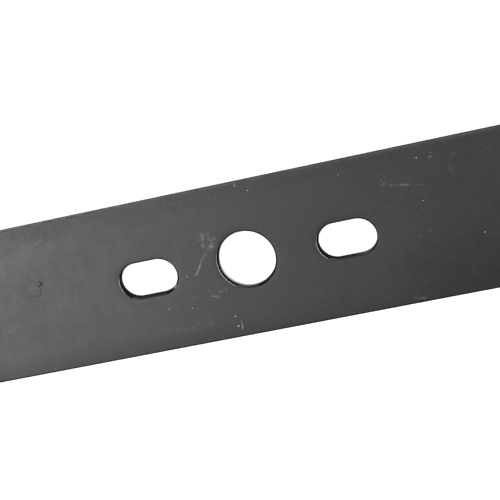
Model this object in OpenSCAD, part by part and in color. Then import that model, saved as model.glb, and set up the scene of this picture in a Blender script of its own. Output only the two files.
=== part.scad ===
// Rotary mower blade: one flat steel bar, punched, pressed and ground.
// X runs along the blade, Y across it, and Z up the axis of the spindle.
// The origin is on the axis of the centre bore, on the underside of the bar.
// The blade turns clockwise seen from above: at the +X end the -Y edge leads and cuts,
// and the trailing edge is pressed up into a wing that lifts the grass.

/* [Bar] */
// Overall length from tip to tip
blade_l = 532; // [420:1:620]
// Width of the flat bar
blade_w = 50.4; // [44:0.1:64]
// Thickness of the bar
blade_t = 2.5; // [2:0.1:5]
// Radius on the long corners of the bar
corner_r = 0.35; // [0.1:0.05:0.9]

/* [Fixing holes] */
// Diameter of the centre bore
bore_d = 18.2; // [10:0.1:28]
// Distance between the centres of the two slots
slot_pitch = 65; // [52:0.5:90]
// Length of a slot from end to end
slot_l = 18.5; // [14:0.1:24]
// Width of a slot
slot_w = 11.5; // [6:0.1:13.5]
// Radius that the punch rolls over on the upper rims
rim_roll = 0.65; // [0.1:0.05:0.8]

/* [Lift wings] */
// Length of a wing at its full angle, measured from the tip
wing_l = 62; // [35:1:100]
// Length over which a wing rises out of the flat bar
wing_run = 52; // [25:1:90]
// Width of the strip that is bent up, measured flat
wing_w = 26; // [22:0.5:34]
// Angle of a wing to the flat bar
wing_angle = 34; // [10:1:50]
// Radius inside the bend
bend_r = 10; // [4:0.5:16]
// Radius on the trailing corner of each tip
tip_r = 14; // [3:0.5:17]

/* [Cutting edges] */
// Length of the straight part of a ground edge, measured from the tip
cut_l = 112; // [60:1:150]
// Angle of the ground face to the underside
cut_angle = 30; // [20:1:45]
// Thickness left at the cutting edge
cut_land = 0.3; // [0.1:0.05:1]
// Radius of the grinding wheel, which leaves its curve where the cut runs out
wheel_r = 80; // [20:1:150]

/* [Hidden] */

coat_colour = [0.27, 0.28, 0.29];
$fn = 96;

// Steps of the facets: round a corner, round the bend, across the wing, along its rise, round the tip
corner_n = 3;
bend_n = 6;
wing_n = 4;
rise_n = 16;
tip_n = 8;

// Overrun of a cutting tool past the surface that it leaves
reach = 1;

half_l = blade_l / 2;
half_w = blade_w / 2;
// Across the flat bar, the line where the bend starts
bend_y = half_w - wing_w;
// Bend radius of the middle layer, which keeps its length
neutral_r = bend_r + blade_t / 2;
// Width of the flat strip that the full bend takes up
bend_w = arc_length(neutral_r, wing_angle);
// Along the blade, the foot of the wing's rise and the start of the tip's corner
rise_foot = half_l - wing_l - wing_run;
tip_x = half_l - tip_r;
// Width of the ground face, measured up its slope
cut_face = (blade_t - cut_land) / sin(cut_angle);

function arc_length(r, a) = r * a * PI / 180;
function arc_angle(r, l) = l / r * 180 / PI;

// Rise from 0 to 1 with a level start and a level end
function ease(u) = u * u * (3 - 2 * u);

// Angle of the wing at the distance x along the blade
function wing_turn(x) = wing_angle * ease(min(max((x - rise_foot) / wing_run, 0), 1));

// Trailing edge of the flat blank, which is rounded at the tip before the wing is pressed
function trailing(x) =
    x <= tip_x ? half_w : half_w - tip_r + sqrt(max(tip_r * tip_r - (x - tip_x) * (x - tip_x), 0));

// Place [y, z] that a point of the flat blank takes once its wing is turned up by an angle
function pressed(y, z, angle) =
    let (
        past = max(y - bend_y, 0),
        bent = min(past, arc_length(neutral_r, angle)),
        turn = arc_angle(neutral_r, bent),
        r = bend_r + blade_t - z,
        straight = past - bent
    )
    [
        min(y, bend_y) + r * sin(turn) + straight * cos(turn),
        bend_r + blade_t - r * cos(turn) + straight * sin(turn)
    ];

// Quarter round at a corner of the section
function corner(y, z, start) =
    [for (i = [0:corner_n]) let (a = start + 90 * i / corner_n) [y + corner_r * cos(a), z + corner_r * sin(a)]];

// Steps across the strip that is bent up, from the bend to the corner at its edge
function strip(edge) =
    let (flat = edge - corner_r - bend_y - bend_w)
    concat(
        [for (i = [0:bend_n]) bend_y + bend_w * i / bend_n],
        [for (i = [1:wing_n - 1]) bend_y + bend_w + flat * i / wing_n]
    );

// Section of the flat blank with its trailing edge at the given place
function section(edge) =
    let (
        low = corner_r,
        high = blade_t - corner_r,
        lead = corner_r - half_w,
        trail = edge - corner_r,
        steps = strip(edge)
    )
    concat(
        corner(lead, low, 180),
        [for (y = steps) [y, 0]],
        corner(trail, low, 270),
        corner(trail, high, 0),
        [for (i = [len(steps) - 1:-1:0]) [steps[i], blade_t]],
        corner(lead, high, 90)
    );

// Stations along one end, from the foot of the rise to just past the tip
function stations() =
    concat(
        [for (i = [0:rise_n]) rise_foot + wing_run * i / rise_n],
        [for (i = [0:tip_n]) tip_x + tip_r * sin(90 * i / tip_n)],
        [half_l + reach]
    );

// Solid through equal rings of points, which run counter-clockwise seen from the last ring
module loft(rings) {
    n = len(rings[0]);
    last = len(rings) - 1;
    first_cap = [for (i = [0:n - 1]) i];
    last_cap = [for (i = [n - 1:-1:0]) last * n + i];
    sides = [
        for (k = [0:last - 1], i = [0:n - 1])
            let (j = (i + 1) % n, a = k * n + i, b = k * n + j)
            each [[a, a + n, b + n], [a, b + n, b]]
    ];
    polyhedron(points = [for (ring = rings) each ring], faces = concat([first_cap], sides, [last_cap]));
}

// Flat middle of the bar, between the feet of the two wings
module middle() {
    translate([-rise_foot, 0, 0])
        rotate([90, 0, 90])
            linear_extrude(2 * rise_foot) polygon(section(half_w));
}

// End of the bar at +X, with its trailing strip pressed up and its tip sheared to length
module pressed_end() {
    difference() {
        loft([
            for (x = stations())
                [for (p = section(trailing(x))) let (q = pressed(p[0], p[1], wing_turn(x))) [x, q[0], q[1]]]
        ]);
        translate([half_l, -blade_w, -blade_w]) cube(2 * blade_w);
    }
}

// Half profile of a punched hole of half width r, with its upper rim rolled over
module punch_profile(r) {
    translate([0, -reach]) square([r, blade_t + 2 * reach]);
    difference() {
        translate([0, blade_t - rim_roll]) square([r + rim_roll, rim_roll + reach]);
        translate([r + rim_roll, blade_t - rim_roll]) circle(r = rim_roll);
    }
}

module bore() {
    rotate_extrude() punch_profile(bore_d / 2);
}

module slot() {
    half = (slot_l - slot_w) / 2;
    for (side = [-1, 1])
        translate([side * half, 0, 0]) rotate_extrude() punch_profile(slot_w / 2);
    translate([-half, 0, 0])
        rotate([90, 0, 90])
            linear_extrude(2 * half)
                for (side = [0, 1]) mirror([side, 0]) punch_profile(slot_w / 2);
}

// Path of the grinding wheel: level along the edge, then up the wheel's own curve
module wheel_path() {
    square([cut_l + reach, blade_t]);
    intersection() {
        translate([0, wheel_r]) circle(r = wheel_r);
        translate([-wheel_r, -reach]) square([wheel_r, blade_t + reach]);
    }
}

// Stock that the wheel takes off the leading edge at +X
module ground_edge() {
    translate([half_l - cut_l, -half_w, cut_land])
        rotate([cut_angle, 0, 0])
            translate([0, cut_face + reach, 0])
                rotate([90, 0, 0])
                    linear_extrude(cut_face + 2 * reach) wheel_path();
}

module blade() {
    color(coat_colour)
        difference() {
            union() {
                middle();
                for (turn = [0, 180]) rotate([0, 0, turn]) pressed_end();
            }
            bore();
            for (side = [-1, 1]) translate([side * slot_pitch / 2, 0, 0]) slot();
            for (turn = [0, 180]) rotate([0, 0, turn]) ground_edge();
        }
}

blade();
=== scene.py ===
"""Scene of a rotary mower blade: one steel bar, punched, pressed, coated and ground.

The visible blade is made as the real one is. A flat blank with its holes is cut as a mesh, and a
Geometry Nodes tree then presses its wings up and grinds its cutting edges. Lengths are in metres
and angles in degrees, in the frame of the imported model: X along the blade, Y across it, Z up.
"""

import logging
import math
import random
from collections.abc import Callable, Mapping, Sequence
from dataclasses import dataclass, field
from enum import Enum
from typing import Any, Union

import bmesh
import bpy
from mathutils import Matrix, Vector
from mathutils.geometry import delaunay_2d_cdt


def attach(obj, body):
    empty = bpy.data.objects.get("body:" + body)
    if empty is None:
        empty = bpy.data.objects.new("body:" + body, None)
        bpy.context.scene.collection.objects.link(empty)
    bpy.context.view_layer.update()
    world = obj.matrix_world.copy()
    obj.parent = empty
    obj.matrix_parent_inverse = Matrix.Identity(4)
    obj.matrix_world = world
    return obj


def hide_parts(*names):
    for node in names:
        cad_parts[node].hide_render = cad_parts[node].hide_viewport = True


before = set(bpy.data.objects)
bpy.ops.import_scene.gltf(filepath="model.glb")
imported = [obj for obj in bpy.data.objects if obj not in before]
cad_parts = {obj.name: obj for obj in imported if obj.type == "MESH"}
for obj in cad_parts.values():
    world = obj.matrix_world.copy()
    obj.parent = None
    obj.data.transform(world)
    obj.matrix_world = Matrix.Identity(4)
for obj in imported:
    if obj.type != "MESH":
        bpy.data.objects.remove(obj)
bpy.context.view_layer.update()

LOG = logging.getLogger("mower_blade")
BODY = "root"
NODE = "blade"

Key = str | int
Point = tuple[float, float]
Place = tuple[float, float, float]
Colour = tuple[float, float, float, float]
Hole = tuple[Point, Point, float]
Outline = list[tuple[Point, Point]]
Ring = list[bmesh.types.BMVert]
Piece = bpy.types.Object
Number = Union["Value", float]
Parts = dict[str, "Value"]
Settings = Mapping[str, object]
Sockets = Mapping[Key, object]
Weights = Mapping[str, float]

# A millimetre, a cubic centimetre, what counts as no distance or no area, and the mean of noise
MM = 0.001
CM3 = 1e-6
NO_LENGTH = 1e-9
NO_AREA = 1e-13
NOISE_MEAN = 0.5

# Numbers of sockets whose names the Mix and the Random Value node use again for other data
MIX_COLOURS = (6, 7)
MIXED_COLOUR = 2
RANDOM_RANGE = (2, 3)
RANDOM_NUMBER = 1


def grey(level: float, warmth: float = 0.0) -> Colour:
    """Give an opaque grey, a little warmer or cooler than neutral."""
    return (level * (1 + warmth), level, level * (1 - warmth), 1.0)


def even(size: float) -> Place:
    """Give one size along all three axes."""
    return (size, size, size)


def table(**rows: object) -> Any:
    """Declare a dataclass field that holds a table of named rows."""
    return field(default_factory=lambda: dict(rows))


def clamp(share: float) -> float:
    """Hold a number between 0 and 1."""
    return min(max(share, 0.0), 1.0)


def ease(share: float) -> float:
    """Rise from 0 to 1 with a level start and a level end."""
    return share * share * (3 - 2 * share)


def spread(start: float, end: float, step: float) -> list[float]:
    """Space places about a step apart, from a start up to an end that is left out."""
    count = max(1, round(abs(end - start) / step))
    return [start + (end - start) * i / count for i in range(count)]


def spread_through(stops: Sequence[float], steps: Sequence[float]) -> list[float]:
    """Space places through a row of stops, with a step for each gap between two of them."""
    gaps = zip(stops, stops[1:], steps)
    return [place for start, end, step in gaps for place in spread(start, end, step)]


def segment_gap(x: float, y: float, start: Point, end: Point) -> float:
    """Measure from a point to a straight segment, whose ends may be the same place."""
    run, away = complex(*end) - complex(*start), complex(x, y) - complex(*start)
    return abs(away - run * clamp((away * run.conjugate()).real / max(abs(run) ** 2, NO_AREA)))


def math_method(operation: str, swapped: bool = False) -> Callable[..., "Value"]:
    """Make a method of Value that adds one Math node.

    Args:
        operation: Blender's name of the operation.
        swapped: Whether the value is the second term, after a plain number.

    Returns:
        The method.
    """

    def method(self: "Value", *others: Number) -> "Value":
        """Add the node on this value and the other terms."""
        return self.net.math(operation, *((*others, self) if swapped else (self, *others)))

    return method


class Value:
    """Output socket of a node, on which Python's operators add Math nodes."""

    def __init__(self, net: "Net", socket: bpy.types.NodeSocket) -> None:
        """Keep a socket with the net that it belongs to."""
        self.net = net
        self.socket = socket

    __add__ = math_method("ADD")
    __radd__ = math_method("ADD", swapped=True)
    __sub__ = math_method("SUBTRACT")
    __rsub__ = math_method("SUBTRACT", swapped=True)
    __mul__ = math_method("MULTIPLY")
    __rmul__ = math_method("MULTIPLY", swapped=True)
    __truediv__ = math_method("DIVIDE")
    __lt__ = math_method("LESS_THAN")
    __gt__ = math_method("GREATER_THAN")
    __abs__ = math_method("ABSOLUTE")
    low = math_method("MINIMUM")
    high = math_method("MAXIMUM")
    sin = math_method("SINE")
    cos = math_method("COSINE")
    root = math_method("SQRT")

    def held(self) -> "Value":
        """Hold between 0 and 1."""
        return self.low(1.0).high(0.0)

    def smooth(self, start: float, end: float) -> "Value":
        """Rise smoothly from 0 at one level to 1 at another, which may be the lower one."""
        sockets = {"Value": self, "From Min": start, "From Max": end}
        return self.net.out("ShaderNodeMapRange", {"interpolation_type": "SMOOTHSTEP"}, sockets)


class Net:
    """Node tree that is being wired."""

    def __init__(self, tree: bpy.types.NodeTree) -> None:
        """Empty the tree and keep it."""
        tree.nodes.clear()
        self.tree = tree

    def add(
        self, kind: str, settings: Settings | None = None, sockets: Sockets | None = None
    ) -> bpy.types.Node:
        """Add a node, make its settings, then fill or link its sockets.

        Args:
            kind: Blender's name of the node's type.
            settings: The node's own properties.
            sockets: Values or links of its inputs, by name or by number.

        Returns:
            The new node.
        """
        node = self.tree.nodes.new(kind)
        for name, setting in (settings or {}).items():
            setattr(node, name, setting)
        for name, value in (sockets or {}).items():
            socket = node.inputs[name]
            if isinstance(value, Value):
                self.tree.links.new(value.socket, socket)
            else:
                socket.default_value = value
        return node

    def out(
        self, kind: str, settings: Settings | None = None, sockets: Sockets | None = None, output: Key = 0
    ) -> Value:
        """Add a node and wrap one of its outputs."""
        return Value(self, self.add(kind, settings, sockets).outputs[output])

    def math(self, operation: str, *terms: Number) -> Value:
        """Add a Math node on up to three terms."""
        return self.out("ShaderNodeMath", {"operation": operation}, dict(enumerate(terms)))

    def axes(self, place: Value) -> tuple[Value, Value, Value]:
        """Split a place into its three numbers."""
        node = self.add("ShaderNodeSeparateXYZ", sockets={0: place})
        return tuple(Value(self, socket) for socket in node.outputs)

    def mix(self, share: Number, first: object, second: object) -> Value:
        """Mix two colours: the first at 0 and the second at 1."""
        sockets = {0: share, **dict(zip(MIX_COLOURS, (first, second)))}
        return self.out("ShaderNodeMix", {"data_type": "RGBA"}, sockets, MIXED_COLOUR)


def weigh(start: float, weights: Weights, parts: Parts) -> Number:
    """Add parts to a start, each times the weight of its name."""
    return sum((weight * parts[name] for name, weight in weights.items()), start)


@dataclass(frozen=True)
class Grain:
    """Noise on a surface: the size of its patches along X, Y and Z, and its finer layers."""

    size: Place
    detail: float = 2.0
    rough: float = 0.5


class Surface:
    """Surface whose material is being wired, in Object coordinates."""

    def __init__(self, net: Net) -> None:
        """Start from the coordinates."""
        self.net, self.place = net, net.out("ShaderNodeTexCoord", output="Object")
        self.x, self.y, self.z = net.axes(self.place)

    def noise(self, grain: Grain) -> Value:
        """Cloud the surface with noise.

        Args:
            grain: Size and layers of the noise.

        Returns:
            Noise between 0 and 1.
        """
        scale = tuple(1 / size for size in grain.size)
        mapped = self.net.out("ShaderNodeMapping", sockets={0: self.place, "Scale": scale})
        sockets = {"Vector": mapped, "Scale": 1.0, "Detail": grain.detail, "Roughness": grain.rough}
        return self.net.out("ShaderNodeTexNoise", sockets=sockets)

    def gap(self, start: Place, end: Place) -> Value:
        """Measure from the surface to a straight segment.

        Args:
            start: One end of the segment.
            end: Other end, which may be the same place.

        Returns:
            The shortest distance.
        """
        out, vector = self.net.out, "ShaderNodeVectorMath"
        if start == end:
            return out(vector, {"operation": "DISTANCE"}, {0: self.place, 1: start}, "Value")
        run = tuple(b - a for a, b in zip(start, end))
        per_run = tuple(part / sum(p * p for p in run) for part in run)
        away = out(vector, {"operation": "SUBTRACT"}, {0: self.place, 1: start})
        share = out(vector, {"operation": "DOT_PRODUCT"}, {0: away, 1: per_run}, "Value").held()
        near = out(vector, {"operation": "SCALE"}, {0: run, "Scale": share})
        return out(vector, {"operation": "DISTANCE"}, {0: away, 1: near}, "Value")


@dataclass(frozen=True)
class Finish:
    """Finish between two greys, whose tone, roughness and relief are weighed from named patterns."""

    name: str
    dark: Colour
    light: Colour
    roughness: float
    grains: Mapping[str, Grain]
    tones: Weights
    base_tone: float = 0.5
    contrast: Point | None = None
    roughs: Weights = table()
    heights: Weights = table()
    relief: float = 0.0
    tints: Mapping[str, Colour] = table()
    plain: Settings = table()

    def zones(self, surface: Surface, noise: Parts) -> Parts:
        """Wire further patterns, of which a plain finish has none."""
        return {}

    def material(self) -> bpy.types.Material:
        """Wire the finish.

        Returns:
            The material.
        """
        material = bpy.data.materials.new(self.name)
        material.use_nodes = True
        net = Net(material.node_tree)
        surface = Surface(net)
        noise = {name: surface.noise(grain) for name, grain in self.grains.items()}
        parts = {name: value - NOISE_MEAN for name, value in noise.items()}
        parts.update(self.zones(surface, noise))
        tone = weigh(self.base_tone, self.tones, parts)
        share = tone.smooth(*self.contrast) if self.contrast else tone.held()
        colour = net.mix(share, self.dark, self.light)
        for name, tint in self.tints.items():
            colour = net.mix(parts[name], colour, tint)
        rough = weigh(self.roughness, self.roughs, parts)
        sockets = {**self.plain, "Base Color": colour, "Roughness": rough}
        if self.relief:
            bump = {"Distance": self.relief, "Height": weigh(0.0, self.heights, parts)}
            sockets["Normal"] = net.out("ShaderNodeBump", sockets={"Strength": 1.0, **bump})
        shader = net.out("ShaderNodeBsdfPrincipled", sockets=sockets)
        net.add("ShaderNodeOutputMaterial", sockets={"Surface": shader})
        return material


@dataclass(frozen=True)
class Mark:
    """Scuff or scratch along a line on the upper face, with its lengths in millimetres."""

    places: tuple[Point, ...]
    half_width: float
    strength: float
    core: float = 0.2
    broken: float = 0.8

    def mask(self, surface: Surface, height: float, flecks: Value) -> Value:
        """Mask the mark.

        Args:
            surface: Surface that the mark is on.
            height: Height of the upper face.
            flecks: Pattern from 0 to 1 that breaks the mark up.

        Returns:
            How far the coat is scuffed.
        """
        line = [(MM * x, MM * y, height) for x, y in self.places]
        gap = surface.gap(line[0], line[min(1, len(line) - 1)])
        for start, end in zip(line[1:], line[2:]):
            gap = gap.low(surface.gap(start, end))
        half = MM * self.half_width
        share = 1 - self.broken + self.broken * flecks
        return gap.smooth(half, half * self.core) * (self.strength * share)


@dataclass(frozen=True)
class SatinCoat(Finish):
    """Thin dark coat with a satin gloss, faint mottling and the marks of handling."""

    name: str = "satin_coat"
    dark: Colour = grey(0.005, -0.01)
    light: Colour = grey(0.019)
    roughness: float = 0.43
    grains: Mapping[str, Grain] = table(
        fine=Grain(even(0.0007), 2.0, 0.6),
        mottle=Grain(even(0.0040), 3.0, 0.6),
        cloud=Grain((0.030, 0.022, 0.022)),
        fuzz=Grain((0.0009, 0.0060, 0.0060), 2.0, 0.6),
    )
    # Weights of the tone: the bands along the long edges, the near brink, the lower right and the rings
    # round the holes darken as painted shade, the far brink lightens as a painted highlight
    tones: Weights = table(
        mottle=0.55, cloud=0.8, fuzz=0.35, fine=1.3, calm_fine=-1.0, far=-0.26, near=-0.24,
        far_brink=0.55, near_brink=-0.60, shade=-0.45, halo=-0.20,
    )
    roughs: Weights = table(
        mottle=0.10, cloud=0.10, fuzz=0.05, far=0.03, near=0.04, shade=-0.08, worn=0.15
    )
    # The rubbed tint on the rounded corners of the long edges is worn coat and partly a painted sheen; the
    # worn tint is real wear
    tints: Mapping[str, Colour] = table(rub=grey(0.10, 0.01), worn=grey(0.30, 0.01))
    heights: Weights = table(grit=1.0)
    grit: Weights = table(mottle=0.5, fine=0.5, fuzz=0.15)
    relief: float = 0.00004
    plain: Settings = table(**{"IOR": 1.5, "Specular IOR Level": 0.5})
    face_height: float = 0.0025
    half_width: float = 0.0252
    holes: tuple[Hole, ...] = ()
    # Painted shade round the holes: how far out from the rim it starts, and where it is full
    hole_shade_run: Point = (0.0032, 0.0006)
    edge_runs: Place = (0.0090, 0.0016, 0.0004)
    shade_along: Point = (0.010, 0.090)
    shade_across: Point = (0.004, -0.020)
    calm_along: Point = (-0.020, -0.055)
    calm_relief: float = 0.4
    rub_share: float = 0.9
    rub_least: float = 0.25
    # Run along X of the painted sheen on the rubbed corners, which grows towards -X
    sheen_along: Point = (0.10, -0.10)
    rub_levels: Point = (0.30, 0.60)
    flecks: Grain = Grain(even(0.00032), 1.0)
    fleck_levels: Point = (0.42, 0.62)
    patches: Grain = Grain(even(0.0010), 1.0)
    patch_levels: Point = (0.38, 0.58)
    marks: tuple[Mark, ...] = (
        Mark(((-12.9, 4.0), (-14.27, 2.38), (-15.28, 0.71)), 0.50, 0.42, broken=0.7),
        Mark(((-15.28, 0.71), (-16.24, -0.63), (-17.02, -1.67)), 0.42, 0.50, broken=0.3),
        Mark(((-17.02, -1.67), (-17.81, -1.89)), 0.30, 0.45),
        Mark(((-11.21, 5.75), (-12.17, 4.66), (-12.82, 3.71)), 0.80, 0.28, 0.1, 0.95),
        Mark(((-12.02, 10.73), (-12.03, 9.72), (-12.31, 8.42), (-12.57, 6.61)), 0.90, 0.52, 0.0, 0.9),
        Mark(((-13.08, 9.09),), 0.45, 0.40),
        Mark(((-10.3, 9.9), (-9.3, 8.2), (-9.9, 6.3)), 1.90, 0.38, 0.0, 0.95),
        Mark(((-8.08, 8.9), (-8.5, 8.7)), 0.60, 0.30, 0.0, 0.9),
        Mark(((-9.63, 7.35),), 0.36, 0.48, broken=0.0),
        Mark(((-10.4, 6.55), (-9.9, 6.5)), 0.36, 0.50, broken=0.2),
        Mark(((-15.41, -6.68), (-14.59, -7.44), (-14.15, -8.29), (-13.88, -9.66)), 0.70, 0.52, 0.0, 1.0),
        Mark(((-13.81, -9.88), (-11.86, -10.28)), 0.42, 0.42, broken=0.8),
        Mark(((-12.44, -10.85),), 0.36, 0.40, broken=0.2),
        Mark(((-11.25, -8.99), (-10.47, -8.80)), 0.36, 0.44, broken=0.6),
        Mark(((-8.82, -8.83),), 0.34, 0.50, broken=0.2),
        Mark(((47.3, 15.0), (48.94, 14.23), (50.45, 14.0), (51.64, 13.74)), 0.60, 0.26, 0.1, 0.9),
        Mark(((52.2, 13.62), (54.64, 13.23)), 0.46, 0.22, 0.3, 0.4),
        Mark(((54.64, 13.23), (56.55, 12.75), (59.1, 12.3)), 0.40, 0.11),
        Mark(((46.99, 14.58),), 0.34, 0.32, broken=0.0),
        Mark(((46.84, 16.5), (46.92, 15.74)), 0.34, 0.18),
        Mark(((46.47, 13.0),), 0.34, 0.16, broken=0.0),
        Mark(((-6.95, -19.7), (-6.88, -20.7)), 0.24, 0.45, broken=0.4),
        Mark(((-6.88, -20.9), (-7.0, -21.7), (-7.31, -22.6)), 0.25, 0.80, broken=0.2),
        Mark(((48.6, -23.3), (52.0, -23.8)), 0.45, 0.27),
        Mark(((68.33, 14.67), (68.6, 15.6)), 1.60, 0.09, 0.0, 0.7),
        Mark(((69.88, 20.11), (69.6, 19.3)), 1.20, 0.06, 0.0, 0.7),
        Mark(((-21.5, -18.6), (-16.5, -18.2)), 2.30, 0.13, 0.0, 0.9),
        Mark(((-33.0, -18.2), (-23.2, -19.5)), 1.80, 0.11, 0.0, 0.9),
        Mark(((-22.2, 22.8), (-15.7, 22.4)), 0.90, 0.10, 0.0, 0.9),
        Mark(((49.1, 15.7), (59.3, 11.0)), 5.00, 0.035, 0.0, 0.9),
        Mark(((-69.5, 21.8), (-68.7, 21.75)), 0.40, 0.25, broken=0.4),
        Mark(((-64.3, 19.9), (-62.7, 19.5)), 0.60, 0.22),
        Mark(((-0.26, 19.6), (-0.26, 18.9)), 0.34, 0.20),
    )

    def zones(self, surface: Surface, noise: Parts) -> Parts:
        """Wire the painted shade in bands along the edges, with a painted highlight at the far brink, the
        painted shade on the lower right, the calm part, the painted shade round the holes and the wear.

        Args:
            surface: The coated surface.
            noise: The finish's noise by name.

        Returns:
            The patterns by name.
        """
        x, y = surface.x, surface.y
        start, brink, end = (self.half_width - run for run in self.edge_runs)
        calm = x.smooth(*self.calm_along)
        # Rubbed coat in patches on the rounded corners of the long edges; the share that rises towards -X
        # is a painted sheen
        rub = surface.net.out("ShaderNodeAttribute", {"attribute_name": "rub"}, output="Fac")
        rub = rub * noise["mottle"].smooth(*self.rub_levels)
        z = self.face_height
        # Painted shade in a ring round each hole
        hole_shades = (
            surface.gap((*left, z), (*right, z)).smooth(*(radius + run for run in self.hole_shade_run))
            for left, right, radius in self.holes
        )
        flecks = surface.noise(self.flecks).smooth(*self.fleck_levels)
        flecks = flecks * surface.noise(self.patches).smooth(*self.patch_levels)
        return {
            # Painted shade in bands along both long edges, a painted highlight at the far brink and a
            # painted dark line at the near brink
            "far": y.smooth(start, end),
            "near": y.smooth(-start, -end),
            "far_brink": y.smooth(brink, end),
            "near_brink": y.smooth(-brink, -end),
            # Painted shade, darker towards +X and -Y
            "shade": x.smooth(*self.shade_along) * y.smooth(*self.shade_across),
            "calm_fine": calm * (noise["fine"] - NOISE_MEAN),
            "grit": weigh(0.0, self.grit, noise) * (1 - self.calm_relief * calm),
            "rub": self.rub_share * rub * (self.rub_least + x.smooth(*self.sheen_along)),
            "halo": sum(hole_shades),
            "worn": sum(mark.mask(surface, z, flecks) for mark in self.marks).held(),
        }


@dataclass(frozen=True)
class RolledRim(Finish):
    """Rim that a punch has rolled over, where the coat is worn to bright steel."""

    name: str = "rolled_rim"
    dark: Colour = grey(0.26)
    light: Colour = grey(0.52)
    roughness: float = 0.25
    grains: Mapping[str, Grain] = table(speck=Grain(even(0.0008), 2.0, 0.6), wear=Grain(even(0.0050)))
    tones: Weights = table(speck=1.0)
    contrast: Point = (0.3, 0.7)
    roughs: Weights = table(speck=0.12, wear=0.15)
    # The coated tint darkens the lower ends of the slot rims as painted shade; the fades give each slot's
    # place along X and where the shade starts and ends across
    tints: Mapping[str, Colour] = table(coated=grey(0.03))
    plain: Settings = table(Metallic=1.0)
    fades: tuple[tuple[float, Point], ...] = (
        (-0.0325, (-0.0024, -0.0042)),
        (0.0325, (-0.0040, -0.0056)),
    )
    fade_half: float = 0.011

    def zones(self, surface: Surface, noise: Parts) -> Parts:
        """Mask the lower ends of the rims of the slots, which a dark tint covers as painted shade."""
        near = ((abs(surface.x - x) < self.fade_half) * surface.y.smooth(*fall) for x, fall in self.fades)
        return {"coated": sum(near)}


@dataclass(frozen=True)
class PaintedWallLight:
    """Place where a cut wall takes painted light, from the underside up to a height."""

    centre: Point
    reach: float
    top: float
    strength: float
    core: float = 0.6
    blend: float = 0.0004

    def mask(self, surface: Surface, level: Value) -> Value:
        """Mask the painted light.

        Args:
            surface: The wall.
            level: Height on the wall, a little uneven.

        Returns:
            How much painted light the wall takes, from 0 to 1.
        """
        spot = (*self.centre, self.top / 2)
        near = surface.gap(spot, spot).smooth(self.reach, self.core * self.reach)
        return self.strength * near * level.smooth(self.top + self.blend, self.top - self.blend)


@dataclass(frozen=True)
class ShearedSteel(Finish):
    """Cut wall of the bar under its coat: a burnished band above and a torn one below."""

    roughness: float = 0.72
    grains: Mapping[str, Grain] = table(
        drag=Grain((0.00035, 0.00035, 0.0040), 3.0, 0.6),
        tear=Grain((0.0006, 0.0006, 0.0003), 3.0, 0.7),
        wander=Grain(even(0.0060)),
    )
    tones: Weights = table(bared=0.75, drag=0.5)
    base_tone: float = 0.03
    roughs: Weights = table(burnt=-0.22, drag=0.10)
    heights: Weights = table(drag=0.35, torn=1.0)
    relief: float = 0.00006
    # Pale tint of the painted light on the lower walls
    tints: Mapping[str, Colour] = table(scraped=grey(0.40))
    burnish_height: float = 0.0011
    blend: float = 0.0003
    wander: float = 0.0012
    # Run along X of the painted light on the wall where the coat is gone, growing towards -X
    lit_along: Point = (0.10, -0.10)
    bared_least: float = 0.08
    wall_lights: tuple[PaintedWallLight, ...] = ()
    lit_least: float = 0.4
    lit_tear: float = 1.2

    def zones(self, surface: Surface, noise: Parts) -> Parts:
        """Wire the burnished and the torn band, the part where the coat is gone with a painted light that
        grows towards -X, and the painted light on the lower walls.

        Args:
            surface: The wall.
            noise: The finish's noise by name.

        Returns:
            The patterns by name.
        """
        level = surface.z + self.wander * (noise["wander"] - NOISE_MEAN)
        burnt = level.smooth(self.burnish_height - self.blend, self.burnish_height + self.blend)
        # The coat gone from the wall, with a painted light that grows towards -X
        bared = surface.x.smooth(*self.lit_along)
        uneven = (self.lit_least + self.lit_tear * noise["tear"]).held()
        return {
            "burnt": burnt,
            "bared": bared * bared * (self.bared_least + (1 - self.bared_least) * burnt),
            "torn": noise["tear"] * (1 - burnt),
            # Painted light on the lower walls, uneven with the tear
            "scraped": uneven * sum(wall_light.mask(surface, level) for wall_light in self.wall_lights),
        }


# Bare steel with the lines that a grinding wheel leaves along the edge
GROUND_STEEL = Finish(
    "ground_steel", grey(0.10, 0.01), grey(0.32, 0.01), 0.38,
    grains={
        "lines": Grain((0.035, 0.00022, 0.00022), 3.0, 0.65),
        "bands": Grain((0.060, 0.0014, 0.0014)),
        "haze": Grain(even(0.009)),
    },
    tones={"lines": 1.1, "bands": 0.5, "haze": 0.35},
    roughs={"lines": 0.22, "haze": 0.12},
    heights={"lines": 1.0},
    relief=0.00003,
    plain={"Metallic": 1.0},
)

# Grains of dust that set in the coat
PALE_GRIT = Finish(
    "pale_grit", grey(0.50, 0.01), grey(0.88, 0.01), 0.55, {"speck": Grain(even(0.0008))},
    tones={"speck": 1.0}, contrast=(0.35, 0.65), roughs={"speck": 0.2},
)

# Matt white light table that the blade lies on
PALE_FLOOR = Finish(
    "pale_floor", grey(0.90), grey(0.93), 0.85, {"cloud": Grain(even(0.05))}, tones={"cloud": 1.0},
    plain={"Specular IOR Level": 0.1, "Emission Color": grey(1.0), "Emission Strength": 0.55},
)


class Skin(Enum):
    """Surfaces that the cutting of the blank leaves."""

    COATED = 0
    SHEARED = 1
    PUNCHED = 2
    ROLLED = 3


# Direction that the punch leant to, and how far an edge has to face a side to belong to it
LEAN = (-0.99, -0.14)
LEANT_FROM = 0.62
PLAIN_FROM = 0.2
FRONT_FROM = 0.9


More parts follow.
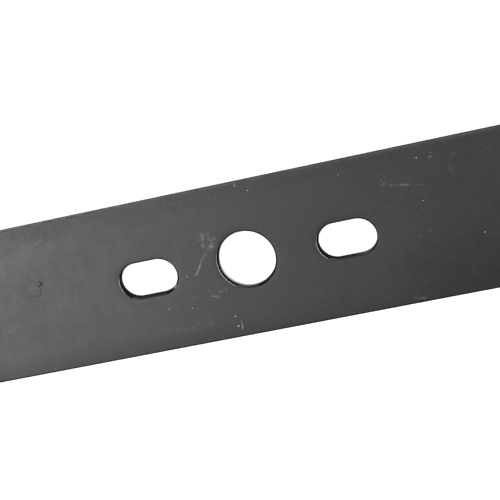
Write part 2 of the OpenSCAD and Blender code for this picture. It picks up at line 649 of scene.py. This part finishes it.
class Side(Enum):
    """Sides of a cut edge, which the tools have left in different states; the near-black skins on some
    sides are painted shade.
    """

    LEANT = 0
    PLAIN = 1
    FRONT = 2
    LEE = 3

    @classmethod
    def facing(cls, way: Point) -> "Side":
        """Name the side of an edge by the direction from it into the steel.

        Args:
            way: Direction along X and Y.

        Returns:
            The side that the punch leant to, the one across from it, the one with its steel at +Y,
            or the rest.
        """
        if LEAN[0] * way[0] + LEAN[1] * way[1] > LEANT_FROM:
            return cls.LEANT
        if way[0] > PLAIN_FROM:
            return cls.PLAIN
        return cls.FRONT if way[1] > FRONT_FROM else cls.LEE


# Skins by side: rims that keep the coat on the front and lee sides, and the front of a long edge, whose
# strip by the corner takes the near-black punched skin as painted shade
KEPT_COAT = {Side.FRONT: Skin.COATED, Side.LEE: Skin.COATED}
BARE_SHADED_FRONT = {Side.FRONT: Skin.PUNCHED}


@dataclass(frozen=True)
class Step:
    """Ring of a cut edge, and the skin of the band that runs down from it, by side where it differs."""

    inset: float
    z: float
    skin: Skin = Skin.COATED
    # Share of the rubbed corner: worn coat with a painted sheen
    rub: float = 0.0
    sides: Mapping[Side, Skin] = table()


@dataclass(frozen=True)
class Nick:
    """Narrow groove that a sharp edge has left in the upper face."""

    start: Point
    end: Point
    half_width: float
    depth: float

    def depth_at(self, x: float, y: float) -> float:
        """Give the depth of the groove at a point."""
        return self.depth * clamp(1 - segment_gap(x, y, self.start, self.end) / self.half_width)


@dataclass(frozen=True)
class Bulge:
    """Slight square rise in the upper face, with nicks at one corner."""

    centre: Point = (-0.07013, 0.00321)
    half: float = 0.00167
    corner: float = 0.0005
    turn: float = -14.0
    wall: float = 0.00050
    rise: float = 0.000032
    reach: float = 0.0036
    step: float = 0.00016
    nicks: tuple[Nick, ...] = (
        Nick((-0.06788, 0.00626), (-0.06780, 0.00608), 0.00027, 0.00010),
        Nick((-0.06746, 0.00586), (-0.06718, 0.00526), 0.00028, 0.00011),
        Nick((-0.06758, 0.00506), (-0.06836, 0.00475), 0.00028, 0.00009),
        Nick((-0.06862, 0.00508), (-0.06892, 0.00520), 0.00024, 0.00005),
    )

    def drop_at(self, x: float, y: float) -> float:
        """Measure how far the face falls at a point.

        Args:
            x: Place along the blade.
            y: Place across the blade.

        Returns:
            The fall below the flat face, below 0 on the rise.
        """
        turn = math.radians(self.turn)
        dx, dy = x - self.centre[0], y - self.centre[1]
        along = abs(dx * math.cos(turn) + dy * math.sin(turn))
        across = abs(dy * math.cos(turn) - dx * math.sin(turn))
        level = self.half - self.corner
        gap = math.hypot(max(along - level, 0), max(across - level, 0)) - self.corner
        rise = self.rise * ease(clamp(0.5 - gap / self.wall))
        return max(nick.depth_at(x, y) for nick in self.nicks) - rise

    def covers(self, x: float, y: float) -> bool:
        """Say whether a point is in the square that gets a fine mesh."""
        return max(abs(x - self.centre[0]), abs(y - self.centre[1])) < self.reach

    def points(self) -> list[Point]:
        """Give the points of the fine mesh."""
        steps = spread(self.step - self.reach, self.reach, self.step)
        return [(self.centre[0] + dx, self.centre[1] + dy) for dx in steps for dy in steps]


def run_tree(piece: Piece, tree: bpy.types.NodeTree, inputs: Mapping[str, object]) -> None:
    """Run a Geometry Nodes tree on a piece and keep what it makes as a plain mesh.

    Args:
        piece: Object that the tree works on.
        tree: The tree.
        inputs: Values of the tree's inputs, by name.
    """
    modifier = piece.modifiers.new(tree.name, "NODES")
    modifier.node_group = tree
    for item in tree.interface.items_tree:
        if item.item_type == "SOCKET" and item.in_out == "INPUT" and item.name in inputs:
            modifier[item.identifier] = inputs[item.name]
    graph = bpy.context.evaluated_depsgraph_get()
    made = bpy.data.meshes.new_from_object(
        piece.evaluated_get(graph), preserve_all_data_layers=True, depsgraph=graph
    )
    piece.modifiers.remove(modifier)
    raw = piece.data
    piece.data = made
    bpy.data.meshes.remove(raw)
    made.name = piece.name


def new_tree(name: str, inputs: Mapping[str, str]) -> tuple[Net, dict[str, Value]]:
    """Start a Geometry Nodes tree with a geometry in and out.

    Args:
        name: Name of the tree.
        inputs: Its other inputs: each one's name and its kind of socket, such as Float.

    Returns:
        The net, and its inputs by name.
    """
    tree = bpy.data.node_groups.new(name, "GeometryNodeTree")
    net = Net(tree)
    for way in ("INPUT", "OUTPUT"):
        tree.interface.new_socket("Geometry", in_out=way, socket_type="NodeSocketGeometry")
    for label, kind in inputs.items():
        tree.interface.new_socket(label, in_out="INPUT", socket_type=f"NodeSocket{kind}")
    node = net.add("NodeGroupInput")
    return net, {label: Value(net, node.outputs[label]) for label in ("Geometry", *inputs)}


def add_piece(name: str, mesh: bpy.types.Mesh) -> Piece:
    """Put a mesh in the scene as an object at the origin.

    Args:
        name: Name of the object.
        mesh: The mesh.

    Returns:
        The object.
    """
    piece = bpy.data.objects.new(name, mesh)
    bpy.context.scene.collection.objects.link(piece)
    return piece


@dataclass
class Blade:
    """The blade: a bar with a bore and two slots, lift wings and ground cutting edges."""

    length: float = 0.532
    width: float = 0.0504
    thickness: float = 0.0025
    corner: float = 0.00035
    corner_steps: int = 8
    crown: float = 0.00006
    crown_run: float = 0.006
    bore: float = 0.0182
    slot_pitch: float = 0.065
    slot_length: float = 0.0185
    slot_width: float = 0.0115
    rim_roll: float = 0.00065
    # Rim of a hole by ring: inset and fall as shares of the roll, and skins by side; the near-black punched
    # skin on its lower bands, starting higher on the plain side, is painted shade
    rim_profile: tuple[tuple[float, float, Mapping[Side, Skin]], ...] = (
        (1.00, 0.00, {Side.LEANT: Skin.ROLLED, Side.PLAIN: Skin.COATED, **KEPT_COAT}),
        (0.80, 0.064, KEPT_COAT),
        (0.55, 0.15, KEPT_COAT),
        (0.30, 0.33, KEPT_COAT),
        (0.10, 0.58, {}),
        (0.00, 1.00, {}),
    )
    burr: float = 0.0001
    support: float = 0.00015
    wing_length: float = 0.062
    wing_run: float = 0.052
    wing_width: float = 0.026
    wing_angle: float = 34.0
    bend: float = 0.010
    tip_round: float = 0.014
    cut_length: float = 0.112
    cut_angle: float = 30.0
    cut_land: float = 0.0003
    wheel: float = 0.080
    dish: float = 0.00004
    dish_run: float = 0.0018
    dish_rings: int = 4
    bulge: Bulge = field(default_factory=Bulge)
    station_steps: tuple[float, ...] = (0.004, 0.0007, 0.0007, 0.002, 0.002)
    row_steps: tuple[float, ...] = (0.0011, 0.0018, 0.0006, 0.0018, 0.0018, 0.0012)
    cut_lead: float = 0.003
    tip_step: float = 0.002
    tip_turns: int = 20
    hole_turns: int = 56
    slot_step: float = 0.0008
    edge_clear: float = 0.0004
    hole_clear: float = 0.0005
    cap_clear: float = 0.00002
    join: float = 1e-7
    weld: float = 1e-6
    least_cut: float = 2e-6
    sharp_angle: float = 14.0
    # Painted light on the lower walls of the bore and of the slots' right ends
    wall_lights: tuple[PaintedWallLight, ...] = (
        PaintedWallLight((-0.0030, -0.0060), 0.0105, 0.0013, 1.0),
        PaintedWallLight((0.0400, -0.0036), 0.0070, 0.0024, 0.13),
        PaintedWallLight((-0.0249, -0.0041), 0.0014, 0.0032, 0.55),
    )

    def __post_init__(self) -> None:
        """Work out the places that follow from the sizes."""
        # From the axis to a tip and to a long edge
        self.half_length = self.length / 2
        self.half_width = self.width / 2
        # Along the blade, the start of the tip's round, and the top and the foot of a wing's rise
        self.tip_x = self.half_length - self.tip_round
        self.rise_top = self.half_length - self.wing_length
        self.rise_foot = self.rise_top - self.wing_run
        # Angle of a wing in radians, and the rise of the ground face over its width
        self.wing_turn = math.radians(self.wing_angle)
        self.cut_slope = math.tan(math.radians(self.cut_angle))
        # Across the blank, the start of the bend and the width that the full bend takes up
        self.bend_y = self.half_width - self.wing_width
        self.bend_width = (self.bend + self.thickness / 2) * self.wing_turn
        # Insets of the rings that join the holes and the long edges to the faces
        self.hole_rim = self.rim_roll + self.dish_run
        self.rim = self.corner + self.support
        # Along the blade, the place where the ground face runs out at the rim of the upper face
        lift = (self.ground_width(self.half_length) - self.rim) * math.sin(math.radians(self.cut_angle))
        self.cut_end = self.half_length - self.cut_length - math.sqrt(2 * self.wheel * lift - lift**2)

    def ground_width(self, x: float) -> float:
        """Measure how far the ground face reaches in from the edge at +X.

        Args:
            x: Place along the blade.

        Returns:
            The width seen from above, below 0 where the wheel has left the bar.
        """
        slope = math.radians(self.cut_angle)
        run_out = max(self.half_length - self.cut_length - x, 0)
        lift = self.wheel - math.sqrt(max(self.wheel**2 - run_out**2, 0))
        return (self.thickness - self.cut_land) / math.tan(slope) - lift / math.sin(slope)

    def stations(self) -> list[float]:
        """Give the places along one half of the blank, from the middle to the round of the tip."""
        stops = (0.0, self.cut_end - self.cut_lead, self.cut_end, self.rise_foot, self.rise_top, self.tip_x)
        return spread_through(stops, self.station_steps)

    def along(self) -> list[float]:
        """Give the places along one half of the blank, from the middle to the tip."""
        return self.stations() + spread(self.tip_x, self.half_length, self.tip_step)

    def rows(self) -> list[float]:
        """Space rows across the blank, from the leading edge to the trailing one.

        Returns:
            The rows' places.
        """
        edge = self.half_width
        cut = self.ground_width(self.half_length) - edge
        bends = (self.bend_y, self.bend_y + self.bend_width)
        stops = (-edge, cut, *bends, edge - self.tip_round, edge - self.crown_run, edge)
        return spread_through(stops, self.row_steps)

    def outline(self) -> Outline:
        """Draw the blank's outline, counter-clockwise seen from above.

        Returns:
            Each point with the direction that leads into the steel.
        """
        half_l, half_w, tip = self.half_length, self.half_width, self.tip_round
        half: Outline = [((x, -half_w), (0.0, 1.0)) for x in self.along()]
        half.append(((half_l, -half_w), (-1.0, 1.0)))
        straight = (y for y in self.rows()[1:] if y < half_w - tip - NO_LENGTH)
        half += [((half_l, y), (-1.0, 0.0)) for y in straight]
        for i in range(self.tip_turns + 1):
            a = math.radians(90 * i / self.tip_turns)
            c, s = math.cos(a), math.sin(a)
            half.append(((self.tip_x + tip * c, half_w - tip + tip * s), (-c, -s)))
        half += [((x, half_w), (0.0, -1.0)) for x in reversed(self.stations()[1:])]
        return half + [((-x, -y), (-nx, -ny)) for (x, y), (nx, ny) in half]

    def holes(self) -> list[Hole]:
        """List the holes.

        Returns:
            The two ends of each one's middle line, and its half width.
        """
        straight = (self.slot_length - self.slot_width) / 2
        found = [((0.0, 0.0), (0.0, 0.0), self.bore / 2)]
        for x in (-self.slot_pitch / 2, self.slot_pitch / 2):
            found.append(((x - straight, 0.0), (x + straight, 0.0), self.slot_width / 2))
        return found

    def hole_outline(self, start: Point, end: Point, radius: float) -> Outline:
        """Draw the outline of a hole, clockwise seen from above.

        Args:
            start: Left end of its middle line.
            end: Right end of its middle line.
            radius: Half width.

        Returns:
            Each point with the direction that leads into the steel.
        """
        drawn: Outline = []
        for centre, other, side in ((end, start, 1.0), (start, end, -1.0)):
            for i in range(self.hole_turns):
                a = math.radians(90 * side - 180 * i / self.hole_turns)
                c, s = math.cos(a), math.sin(a)
                drawn.append(((centre[0] + radius * c, centre[1] + radius * s), (c, s)))
            if centre != other:
                for x in spread(centre[0], other[0], self.slot_step):
                    drawn.append(((x, centre[1] - side * radius), (0.0, -side)))
        return drawn

    def edge_steps(self) -> list[Step]:
        """Shape a long edge: its rounded corners, and the wall between them.

        Returns:
            Its rings from the upper face to the lower one.
        """
        r, t, n = self.corner, self.thickness, self.corner_steps
        turns = [math.pi / 2 * i / n for i in range(n + 1)]
        upper = []
        for a in turns:
            z = t - r + r * math.cos(a)
            upper.append(Step(r - r * math.sin(a), z, rub=math.sin(2 * a), sides=BARE_SHADED_FRONT))
        lower = [Step(r - r * math.cos(a), r - r * math.sin(a), Skin.SHEARED) for a in turns]
        upper[-1] = Step(0.0, t - r, Skin.SHEARED)
        lower[-1] = Step(r, 0.0)
        return [Step(self.rim, t, sides=BARE_SHADED_FRONT), *upper, *lower, Step(self.rim, 0.0)]

    def hole_steps(self) -> list[Step]:
        """Shape the edge of a punched hole: the dish, the rolled rim, the wall and its lower break.

        Returns:
            Its rings from the upper face to the lower one.
        """
        r, t = self.rim_roll, self.thickness
        rings = [Step(r + gap, t) for gap in spread(self.dish_run, 0.0, self.dish_run / self.dish_rings)]
        rings.append(Step(r + self.support, t))
        for inset, fall, sides in self.rim_profile:
            rings.append(Step(r * inset, t - r * fall, Skin.PUNCHED, sides=sides))
        rings += [Step(0.0, self.burr, Skin.PUNCHED), Step(self.burr, 0.0)]
        return [*rings, Step(self.burr + self.support, 0.0)]

    def hole_gap(self, x: float, y: float) -> float:
        """Measure from a point to the nearest hole, below 0 inside one."""
        return min(segment_gap(x, y, start, end) - radius for start, end, radius in self.holes())

    def edge_gap(self, x: float, y: float) -> float:
        """Measure from a point of the blank to its nearest outer edge.

        Args:
            x: Place along the blank.
            y: Place across the blank.

        Returns:
            The distance, below 0 outside the blank.
        """
        side = -1 if x < 0 else 1
        x, y = x * side, y * side
        beyond_x, beyond_y = x - self.tip_x, y - (self.half_width - self.tip_round)
        if beyond_x > 0 and beyond_y > 0:
            return self.tip_round - math.hypot(beyond_x, beyond_y)
        return min(self.half_length - x, self.half_width - abs(y))

    def crease(self) -> list[Point]:
        """Draw the line where the ground face meets the upper face at +X.

        Returns:
            Its points from the run-out to the tip.
        """
        last = self.half_length - self.rim
        along = [x for x in self.stations() if x > self.cut_end - NO_LENGTH]
        along += [*spread(self.tip_x, last, self.tip_step), last]
        return [(x, self.ground_width(x) - self.half_width) for x in along]

    def grid(self) -> list[Point]:
        """Lay a grid over a face that follows the bends and the cuts.

        Returns:
            Its points that keep clear of the edges and the holes.
        """
        half = [(x, y) for x in self.along() for y in self.rows()]
        both = half + [(-x, -y) for x, y in half if x > 0]
        return [
            point for point in both
            if self.edge_gap(*point) > self.rim + self.edge_clear
            and self.hole_gap(*point) > self.hole_rim + self.hole_clear
        ]

    def off_crease(self, x: float, y: float) -> bool:
        """Say whether a point keeps clear of the line where the ground face ends."""
        side = -1 if x < 0 else 1
        return abs(self.ground_width(x * side) - self.half_width - y * side) > self.edge_clear

    def drop(self, x: float, y: float) -> float:
        """Measure how far the upper face falls below its nominal height at a point.

        Args:
            x: Place along the blank.
            y: Place across the blank.

        Returns:
            The fall towards the long edges, towards the holes and round the bulge.
        """
        crown = clamp(1 - (self.half_width - abs(y)) / self.crown_run)
        dish = clamp(1 - (self.hole_gap(x, y) - self.rim_roll) / self.dish_run)
        return self.crown * crown**2 + self.dish * dish**2 + self.bulge.drop_at(x, y)

    def stack(self, bm: bmesh.types.BMesh, outline: Outline, steps: Sequence[Step]) -> tuple[Ring, Ring]:
        """Build the rings of a cut edge along an outline, and the bands between them.

        Args:
            bm: Mesh that takes them.
            outline: Points of the edge.
            steps: Rings from the upper face to the lower one.

        Returns:
            The first and the last ring.
        """
        skin = bm.faces.layers.int["skin"]
        rub = bm.verts.layers.float["rub"]
        rings: list[Ring] = []
        for step in steps:
            ring = []
            for (x, y), (nx, ny) in outline:
                vert = bm.verts.new((x + nx * step.inset, y + ny * step.inset, step.z))
                vert[rub] = step.rub
                ring.append(vert)
            rings.append(ring)
        count = len(outline)
        for step, upper, lower in zip(steps, rings, rings[1:]):
            for i in range(count):
                j = (i + 1) % count
                face = bm.faces.new((upper[i], lower[i], lower[j], upper[j]))
                face[skin] = step.sides.get(Side.facing(outline[i][1]), step.skin).value
        return rings[0], rings[-1]

    def cap(
        self,
        bm: bmesh.types.BMesh,
        rims: Sequence[Ring],
        inner: Sequence[Point],
        creases: Sequence[Sequence[Point]],
        upward: bool,
    ) -> None:
        """Close a face of the blank between its rims.

        Args:
            bm: Mesh that takes the face.
            rims: Rings that bound the face.
            inner: Points inside it.
            creases: Lines that its triangles follow.
            upward: Whether this is the upper face.
        """
        edge_verts = [vert for rim in rims for vert in rim]
        points = [(vert.co.x, vert.co.y) for vert in edge_verts]
        links: list[tuple[int, int]] = []
        first = 0
        for rim in rims:
            links += [(first + i, first + (i + 1) % len(rim)) for i in range(len(rim))]
            first += len(rim)
        for line in creases:
            links += [(len(points) + i, len(points) + i + 1) for i in range(len(line) - 1)]
            points += line
        points += inner
        flat = [Vector(point) for point in points]
        found, _, triangles, origins, _, _ = delaunay_2d_cdt(flat, links, [], 0, self.join, True)
        z = edge_verts[0].co.z
        verts: Ring = []
        for place, origin in zip(found, origins):
            own = min(origin) if origin else len(edge_verts)
            fresh = own >= len(edge_verts)
            verts.append(bm.verts.new((*place, z)) if fresh else edge_verts[own])
        limit = (self.hole_rim if upward else self.burr + self.support) + self.cap_clear
        for triangle in triangles:
            a, b, c = (found[i] for i in triangle)
            middle = (a + b + c) / 3
            area = (b - a).cross(c - a)
            if abs(area) < NO_AREA or self.hole_gap(*middle) < limit:
                continue
            corners = [verts[i] for i in triangle]
            if (area > 0) != upward:
                corners.reverse()
            bm.faces.new(corners)

    def blank(self) -> Piece:
        """Cut and punch the flat blank, with the bulge and the slight falls of its upper face.

        Returns:
            The blank as an object.
        """
        bm = bmesh.new()
        bm.faces.layers.int.new("skin")
        bm.verts.layers.float.new("rub")
        tops, bottoms = [], []
        cuts = [(self.outline(), self.edge_steps())]
        cuts += [(self.hole_outline(*hole), self.hole_steps()) for hole in self.holes()]
        for outline, steps in cuts:
            top, bottom = self.stack(bm, outline, steps)
            tops.append(top)
            bottoms.append(bottom)
        crease = self.crease()
        creases = [crease, [(-x, -y) for x, y in crease]]
        grid = self.grid()
        upper = [p for p in grid if self.off_crease(*p) and not self.bulge.covers(*p)]
        self.cap(bm, tops, upper + self.bulge.points(), creases, True)
        self.cap(bm, bottoms, grid, [], False)
        for vert in bm.verts:
            if vert.co.z > self.thickness / 2:
                vert.co.z -= self.drop(vert.co.x, vert.co.y)
        open_edges = sum(not edge.is_manifold for edge in bm.edges)
        volume = bm.calc_volume(signed=True) / CM3
        LOG.info("blank: %d faces, %d open edges, %.1f cm3", len(bm.faces), open_edges, volume)
        mesh = bpy.data.meshes.new("blank")
        bm.to_mesh(mesh)
        bm.free()
        return add_piece("mower_blade", mesh)

    def forming(self) -> tuple[bpy.types.NodeTree, dict[str, float]]:
        """Wire the tree that presses the wings up, grinds the edges and sets the finishes.

        Returns:
            The tree, and the sizes for its inputs.
        """
        names = (
            "half_length", "half_width", "thickness", "wing_length", "wing_run", "wing_width", "wing_turn",
            "bend", "cut_length", "cut_slope", "cut_land", "wheel",
        )
        sizes = {name.replace("_", " ").capitalize(): getattr(self, name) for name in names}
        cut_skins = {skin.name.title(): skin for skin in (Skin.SHEARED, Skin.PUNCHED, Skin.ROLLED)}
        kinds = dict.fromkeys(sizes, "Float") | dict.fromkeys(("Coat", *cut_skins, "Ground"), "Material")
        net, inputs = new_tree("press_and_grind", kinds)
        half_l, half_w, thick, wing_l, wing_run, wing_w, angle, bend, cut_l, slope, land, wheel = (
            inputs[label] for label in sizes
        )
        x, y, z = net.axes(net.out("GeometryNodeInputPosition"))
        side = 1 - 2 * (x < 0.0)
        out, across = abs(x), y * side

        lift = angle * ease(((out - half_l + wing_l + wing_run) / wing_run).held())
        bend_y = half_w - wing_w
        neutral = bend + 0.5 * thick
        past = (across - bend_y).high(0.0)
        bent = past.low(neutral * lift)
        turn = bent / neutral
        axis = bend + thick
        arm, straight = axis - z, past - bent
        new_y = across.low(bend_y) + arm * turn.sin() + straight * turn.cos()
        new_z = axis - arm * turn.cos() + straight * turn.sin()

        run_out = (half_l - cut_l - out).high(0.0)
        clear = wheel - (wheel * wheel - run_out * run_out).high(0.0).root()
        ground = land + (across + half_w) * slope + clear * (1 + slope * slope).root()
        depth = (new_z - ground).high(0.0)
        place = net.out("ShaderNodeCombineXYZ", sockets={0: x, 1: new_y * side, 2: new_z.low(ground)})

        shape = net.out("GeometryNodeStoreNamedAttribute", {"data_type": "FLOAT", "domain": "POINT"}, {
            "Geometry": inputs["Geometry"], "Name": "ground_depth", "Value": depth,
        })
        for kind, sockets in (
            ("SetPosition", {"Position": place}),
            ("MergeByDistance", {"Distance": self.weld}),
            ("SetShadeSmooth", {}),
            ("RealizeInstances", {}),
            ("SetMaterial", {"Material": inputs["Coat"]}),
        ):
            shape = net.out(f"GeometryNode{kind}", sockets={0: shape, **sockets})
        named = "GeometryNodeInputNamedAttribute"
        skin = net.out(named, {"data_type": "INT"}, {"Name": "skin"})
        chosen = {label: abs(skin - float(kind.value)) < 0.5 for label, kind in cut_skins.items()}
        chosen["Ground"] = net.out(named, {"data_type": "FLOAT"}, {"Name": "ground_depth"}) > self.least_cut
        for label, faces in chosen.items():
            sockets = {"Geometry": shape, "Selection": faces, "Material": inputs[label]}
            shape = net.out("GeometryNodeSetMaterial", sockets=sockets)
        net.add("NodeGroupOutput", sockets={0: shape})
        return net.tree, sizes

    def build(self) -> Piece:
        """Make the blade and stand it in for its solid.

        Returns:
            The finished piece.
        """
        coat = SatinCoat(face_height=self.thickness, half_width=self.half_width, holes=tuple(self.holes()))
        edge = ShearedSteel(
            "sheared_edge", grey(0.012), grey(0.20),
            plain={"Specular IOR Level": 0.03}, burnish_height=0.0015,
        )
        # The walls of the holes take a near-black, barely glossy copy of the sheared steel: painted shade
        wall = ShearedSteel(
            "punched_wall", grey(0.002), grey(0.010),
            plain={"Specular IOR Level": 0.02}, wall_lights=self.wall_lights,
        )
        piece = self.blank()
        tree, inputs = self.forming()
        finishes = {"Coat": coat, "Sheared": edge, "Punched": wall}
        finishes.update({"Rolled": RolledRim(), "Ground": GROUND_STEEL})
        run_tree(piece, tree, inputs | {label: finish.material() for label, finish in finishes.items()})
        piece.data.set_sharp_from_angle(angle=math.radians(self.sharp_angle))
        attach(piece, BODY)
        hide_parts(NODE)
        return piece


@dataclass
class CoatNibs:
    """Grains of dust under and on the coat of the upper face."""

    blade: Blade
    seed: int = 7
    chosen: tuple[Place, ...] = (
        (0.05895, 0.02101, 0.17), (0.06318, 0.02048, 0.14), (0.06252, 0.02030, 0.08),
        (0.06347, 0.02166, 0.08), (0.06474, 0.01696, 0.06), (0.0580, 0.0073, 0.12),
        (0.05795, -0.0027, 0.08), (0.0742, -0.0064, 0.14), (0.0345, 0.0207, 0.10),
        (-0.00841, -0.01788, 0.23), (-0.00824, -0.02126, 0.27), (-0.02127, -0.01256, 0.14),
        (-0.01983, -0.00934, 0.09), (-0.0287, -0.0112, 0.14), (0.00590, 0.02181, 0.14),
        (0.00226, 0.02395, 0.15), (0.0024, 0.02465, 0.12), (-0.00442, 0.02197, 0.07),
        (-0.0118, 0.0194, 0.10), (-0.0203, -0.0017, 0.15), (-0.06499, 0.01896, 0.13),
        (-0.06068, 0.01864, 0.11), (-0.0826, -0.0081, 0.10),
    )
    scattered: int = 90
    smallest: float = 0.03
    largest: float = 0.06
    flatness: float = 0.55
    edge_clear: float = 0.0015
    cut_clear: float = 0.01

    def spots(self) -> list[Place]:
        """Give each nib's place on the face and its radius in millimetres.

        Returns:
            The chosen nibs, then the scattered ones.
        """
        draw = random.Random(self.seed)
        found = list(self.chosen)
        while len(found) < len(self.chosen) + self.scattered:
            x = draw.uniform(-self.blade.rise_foot, self.blade.rise_foot)
            y = draw.uniform(-self.blade.half_width, self.blade.half_width)
            size = draw.uniform(self.smallest, self.largest)
            clear = min(self.blade.edge_gap(x, y), self.blade.hole_gap(x, y))
            ground = abs(x) > self.blade.cut_end - self.cut_clear and y * x < 0
            if clear > self.edge_clear and not ground and not self.blade.bulge.covers(x, y):
                found.append((x, y, size))
        return found

    def scatter(self) -> bpy.types.NodeTree:
        """Wire the tree that sets a grain on each point.

        Returns:
            The tree.
        """
        kinds = {"Flatness": "Float", "Seed": "Int", "Grit": "Material"}
        net, inputs = new_tree("scatter_nibs", kinds)
        grain = net.out("GeometryNodeMeshIcoSphere", sockets={"Radius": 1.0, "Subdivisions": 2})
        size = net.out("GeometryNodeInputNamedAttribute", {"data_type": "FLOAT"}, {"Name": "size"})
        squash = net.out("ShaderNodeCombineXYZ", sockets={0: size, 1: size, 2: size * inputs["Flatness"]})
        drawn = {"Seed": inputs["Seed"], **dict(zip(RANDOM_RANGE, (0.0, 2 * math.pi)))}
        turn = net.out("FunctionNodeRandomValue", {"data_type": "FLOAT"}, drawn, RANDOM_NUMBER)
        spin = net.out("ShaderNodeCombineXYZ", sockets={2: turn})
        shape = net.out("GeometryNodeInstanceOnPoints", sockets={
            "Points": inputs["Geometry"], "Instance": grain, "Rotation": spin, "Scale": squash,
        })
        shape = net.out("GeometryNodeRealizeInstances", sockets={0: shape})
        shape = net.out("GeometryNodeSetMaterial", sockets={"Geometry": shape, "Material": inputs["Grit"]})
        net.add("NodeGroupOutput", sockets={0: shape})
        return net.tree

    def build(self) -> Piece:
        """Make the nibs.

        Returns:
            The finished piece.
        """
        spots = self.spots()
        mesh = bpy.data.meshes.new("nib_points")
        top = self.blade.thickness
        mesh.from_pydata([(x, y, top - self.blade.drop(x, y)) for x, y, _ in spots], [], [])
        sizes = mesh.attributes.new("size", "FLOAT", "POINT")
        sizes.data.foreach_set("value", [size * MM for _, _, size in spots])
        piece = add_piece("coat_nibs", mesh)
        run_tree(piece, self.scatter(), {
            "Flatness": self.flatness, "Seed": self.seed, "Grit": PALE_GRIT.material(),
        })
        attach(piece, BODY)
        return piece


@dataclass(frozen=True)
class SoftBox:
    """Square lamp behind a diffuser."""

    name: str
    place: Place
    aim: Place
    size: Point
    power: float

    def build(self) -> None:
        """Hang the lamp and turn it to its aim."""
        lamp = bpy.data.lights.new(self.name, "AREA")
        lamp.shape = "RECTANGLE"
        lamp.size, lamp.size_y = self.size
        lamp.energy = self.power
        piece = bpy.data.objects.new(self.name, lamp)
        piece.location = self.place
        toward = Vector(self.aim) - Vector(self.place)
        piece.rotation_euler = toward.to_track_quat("-Z", "Y").to_euler()
        piece.visible_camera = False
        bpy.context.scene.collection.objects.link(piece)


@dataclass
class Studio:
    """Pale floor, soft light and white surroundings."""

    floor_half: float = 12.0
    floor_drop: float = 0.00005
    horizon: float = 0.03
    zenith: float = 0.14
    sky: Point = (0.1, 0.9)
    backdrop: float = 1.1
    lamps: tuple[SoftBox, ...] = (
        SoftBox("key_softbox", (-0.663, -0.259, 1.2), (0.0, 0.0, 0.0), (0.3, 0.6), 10.4),
        SoftBox("top_softbox", (0.432, -0.116, 1.005), (0.0, 0.0, 0.0), (0.8, 0.6), 2.3),
        SoftBox("fill_softbox", (0.457, 0.629, 0.778), (0.0, 0.0, 0.0), (0.9, 0.8), 9.0),
    )

    def floor(self) -> None:
        """Lay the floor just under the blade."""
        half, z = self.floor_half, -self.floor_drop
        mesh = bpy.data.meshes.new("floor")
        corners = [(-half, -half, z), (half, -half, z), (half, half, z), (-half, half, z)]
        mesh.from_pydata(corners, [], [(0, 1, 2, 3)])
        mesh.materials.append(PALE_FLOOR.material())
        piece = add_piece("floor", mesh)

    def surroundings(self) -> None:
        """Wire white surroundings that are darker towards the horizon."""
        world = bpy.data.worlds.new("studio")
        world.use_nodes = True
        bpy.context.scene.world = world
        net = Net(world.node_tree)
        _, _, up = net.axes(net.out("ShaderNodeTexCoord", output="Generated"))
        glow = self.horizon + (self.zenith - self.horizon) * up.smooth(*self.sky)
        seen = net.out("ShaderNodeLightPath", output="Is Camera Ray")
        strength = glow * (1 - seen) + self.backdrop * seen
        light = net.out("ShaderNodeBackground", sockets={"Strength": strength})
        net.add("ShaderNodeOutputWorld", sockets={"Surface": light})

    def build(self) -> None:
        """Set up the floor, the lamps and the surroundings."""
        self.floor()
        for lamp in self.lamps:
            lamp.build()
        self.surroundings()
        view = bpy.context.scene.view_settings
        view.view_transform = "Standard"
        view.look = "None"


@dataclass(frozen=True)
class PhotoCamera:
    """Camera at the photograph's place, found by fitting the rims of the holes and the edges."""

    lens: float = 116.489
    sensor: float = 36.0
    aim: Place = (0.0017718, 0.0027681, 0.0025)
    distance: float = 0.5064922
    azimuth: float = 54.0845
    elevation: float = 69.3630
    roll: float = 15.0140
    clip: Point = (0.01, 100.0)

    def build(self) -> None:
        """Set up the camera and make it the scene's own."""
        around, above = math.radians(self.azimuth), math.radians(self.elevation)
        flat = math.cos(above)
        back = Vector((flat * math.cos(around), flat * math.sin(around), math.sin(above)))
        level = Vector((0.0, 1.0, 0.0)).cross(back).normalized()
        upright = back.cross(level)
        tilt = math.radians(self.roll)
        right = level * math.cos(tilt) - upright * math.sin(tilt)
        axes = Matrix((right, back.cross(right), back)).transposed()
        data = bpy.data.cameras.new("photo_camera")
        data.lens, data.sensor_width = self.lens, self.sensor
        data.clip_start, data.clip_end = self.clip
        camera = bpy.data.objects.new("photo_camera", data)
        place = Vector(self.aim) + back * self.distance
        camera.matrix_world = Matrix.Translation(place) @ axes.to_4x4()
        bpy.context.scene.collection.objects.link(camera)
        bpy.context.scene.camera = camera


def report(piece: Piece) -> None:
    """Log a finished piece's name, faces and finishes."""
    finishes = ", ".join(material.name for material in piece.data.materials if material)
    LOG.info("%s: %d faces, %s", piece.name, len(piece.data.polygons), finishes)


def main() -> None:
    """Build the camera, the blade, its nibs and the studio, in that order."""
    logging.basicConfig(level=logging.INFO, format="%(message)s")
    PhotoCamera().build()
    blade = Blade()
    report(blade.build())
    report(CoatNibs(blade).build())
    Studio().build()


if __name__ == "__main__":
    main()
